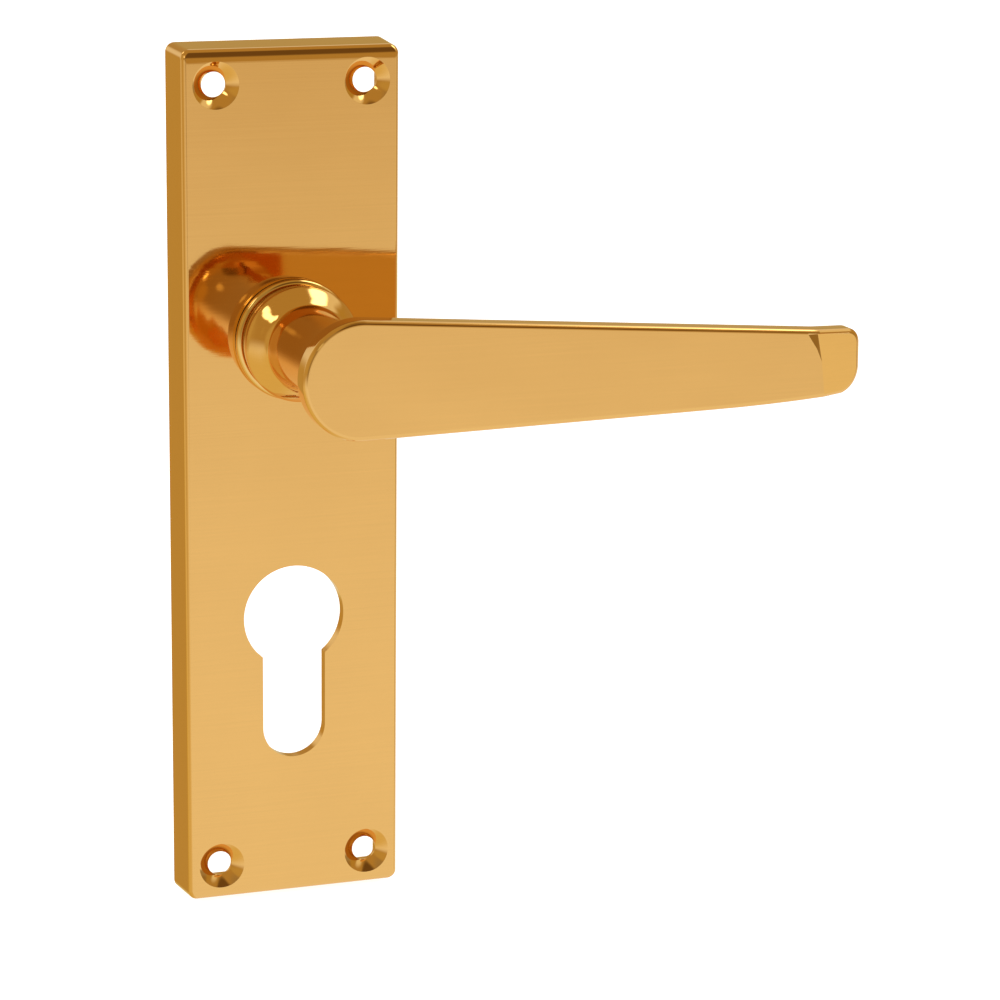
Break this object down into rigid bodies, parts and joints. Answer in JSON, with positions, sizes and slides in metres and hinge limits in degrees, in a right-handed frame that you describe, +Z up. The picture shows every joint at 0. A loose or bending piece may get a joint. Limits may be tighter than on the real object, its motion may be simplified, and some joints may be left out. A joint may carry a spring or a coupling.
{
  "type": "lever door handle",
  "caption": "Straight brass lever handle on a tall rectangular backplate with a euro-profile cylinder cut-out and countersunk corner screw holes.",
  "frame": {"origin": "on the lever axis, at the face of the door (the plane of the backplate's back rim)", "axes": "+Z up the backplate, -Y out from the door towards the hand, +X along the lever at rest"},
  "size_m": [0.1066, 0.047, 0.1466],
  "materials": {
    "polished_brass_plate": "polished",
    "polished_brass_collar": "polished",
    "polished_brass_lever": "polished",
    "bronze_bush": "sintered bronze, oiled",
    "zinc_plate": "zinc plated",
    "zinc_screw": "zinc plated",
    "spring_steel": "oiled"
  },
  "bodies": {
    "backplate": {"backplate": "polished_brass_plate", "neck_collar": "polished_brass_collar", "neck_bush": "bronze_bush", "thrust_washer": "zinc_plate", "return_spring_lower": "spring_steel", "return_spring_upper": "spring_steel", "cover_plate": "zinc_plate", "cover_screw_1": "zinc_screw", "cover_screw_2": "zinc_screw", "cover_screw_3": "zinc_screw", "cover_screw_4": "zinc_screw", "stop_pin_rest": "zinc_screw", "stop_pin_travel": "zinc_screw"},
    "lever": {"lever": "polished_brass_lever", "cam_plate": "zinc_plate", "wave_washer": "spring_steel", "circlip": "spring_steel"}
  },
  "joints": [
    {"name": "lever_turn", "type": "hinge", "parent": "backplate", "child": "lever", "pos_m": [0, 0, 0], "axis": [0, 1, 0], "range_deg": [0, 45], "stiffness_Nm_per_rad": 0.45, "springref_deg": -51.57, "deforming": ["return_spring_lower", "return_spring_upper"]}
  ]
}
